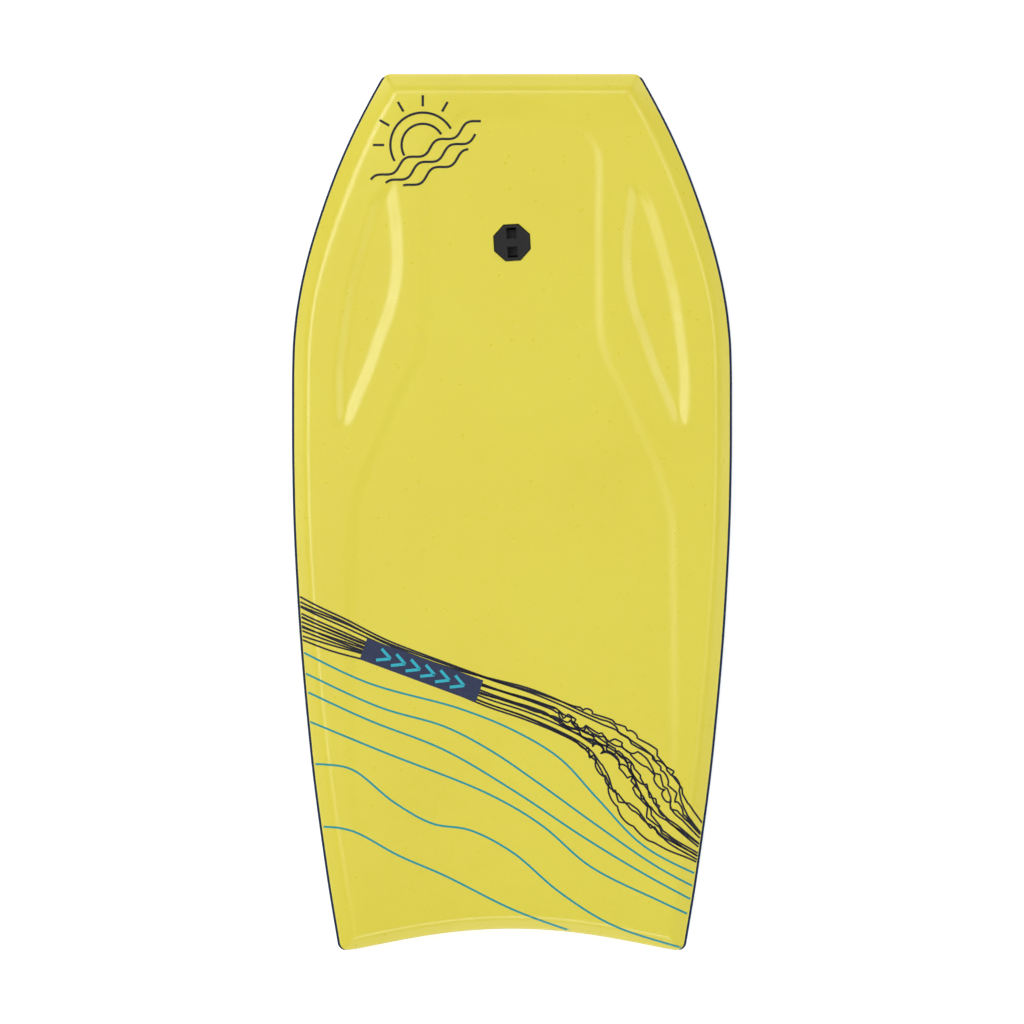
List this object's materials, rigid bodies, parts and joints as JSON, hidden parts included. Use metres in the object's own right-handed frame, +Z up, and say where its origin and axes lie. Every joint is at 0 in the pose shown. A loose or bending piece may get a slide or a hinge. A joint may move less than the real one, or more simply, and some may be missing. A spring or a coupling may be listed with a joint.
{
  "type": "bodyboard",
  "caption": "Foam prone surf board with bevelled deck, elbow wells, side rails, slick bottom, crescent tail and a leash plug clamped through by a coin screw.",
  "frame": {"origin": "centre of the bounding box in plan, at the height of the lowest part of the slick bottom", "axes": "+Z up out of the deck, +Y toward the nose, +X toward the right rail seen from the tail"},
  "size_m": [0.523, 1.0409, 0.0755],
  "materials": {
    "deck_foam": "matte",
    "rail_foam": "matte",
    "bumper_foam": "matte",
    "core_foam": "matte",
    "net": "matte",
    "slick": "satin",
    "plug_plastic": "satin",
    "washer_plastic": "matte"
  },
  "bodies": {
    "board": {"core": "core_foam", "deck_skin": "deck_foam", "bottom_net": "net", "slick_skin": "slick", "rail_left": "rail_foam", "rail_right": "rail_foam", "nose_bumper": "bumper_foam", "tail_bumper": "bumper_foam", "plug_cap": "plug_plastic"},
    "washer": {"plug_washer": "washer_plastic"},
    "screw": {"plug_screw": "plug_plastic"}
  },
  "joints": [
    {"name": "plug_draw", "type": "slide", "parent": "board", "child": "washer", "axis": [0, 0, -1], "range_m": [0, 0.0076]},
    {"name": "plug_turn", "type": "hinge", "parent": "washer", "child": "screw", "pos_m": [0, 0.32011, 0.011], "axis": [0, 0, -1], "range_deg": [0, 900]}
  ],
  "couplings": [
    {"joint": "plug_draw", "follows": "plug_turn", "m_per_rad": 0.00047746}
  ]
}
